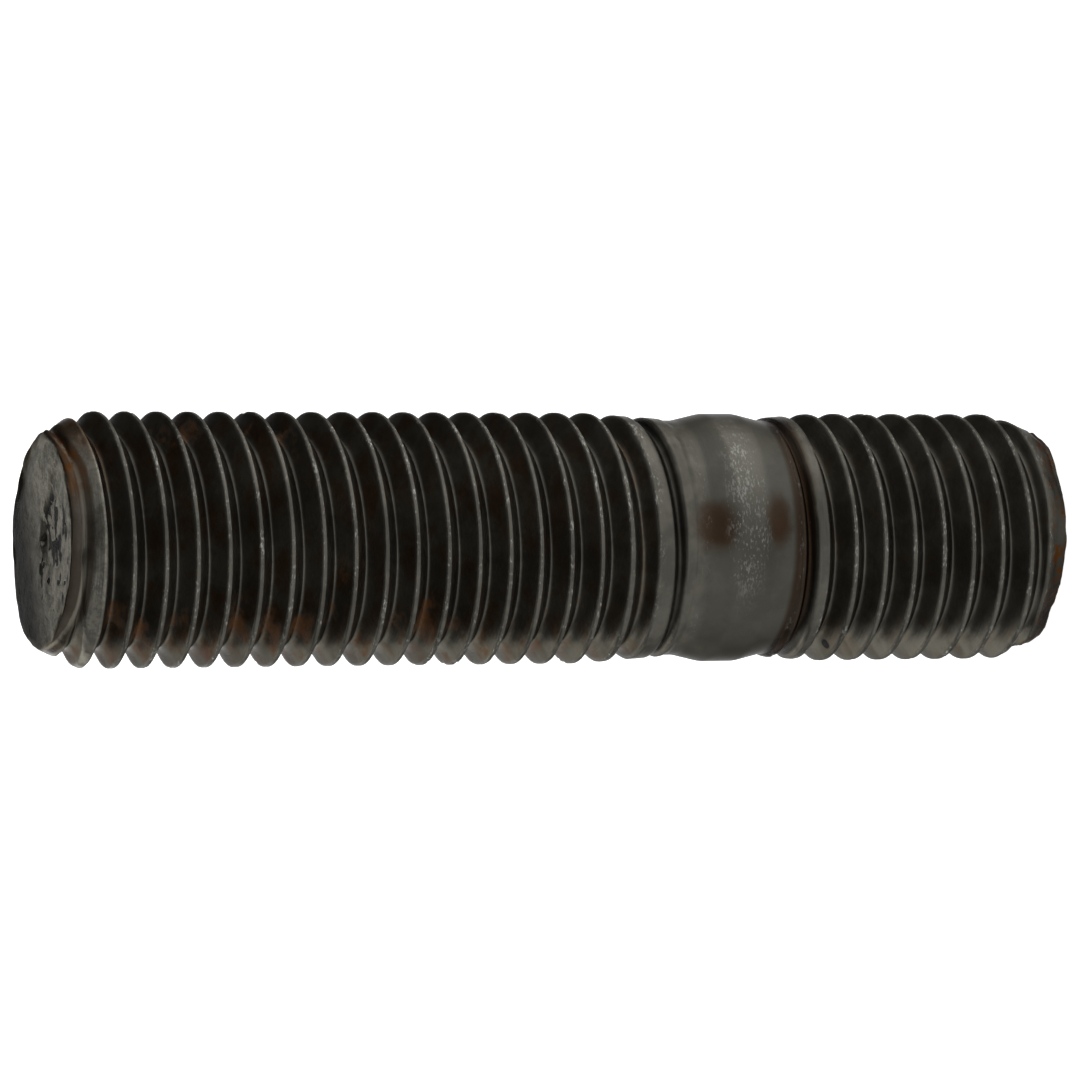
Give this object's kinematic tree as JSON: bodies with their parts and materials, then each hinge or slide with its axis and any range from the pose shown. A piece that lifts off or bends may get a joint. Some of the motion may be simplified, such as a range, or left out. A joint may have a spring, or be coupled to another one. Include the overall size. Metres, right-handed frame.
{
  "type": "double ended stud",
  "caption": "Double ended stud: a right-hand thread at each end of a steel bar with a plain barrel between, one thread for a tapped hole and the longer one for a nut.",
  "frame": {"origin": "centre of the lower end face, the end of the short thread that goes into a tapped hole", "axes": "+Z along the stud's axis, towards the nut end"},
  "size_m": [0.0158, 0.0158, 0.066],
  "materials": {
    "oiled_steel": "near-black oiled steel with light crest edges and faint rust in the thread roots"
  },
  "bodies": {
    "root": {"stud": "oiled_steel"}
  },
  "joints": []
}
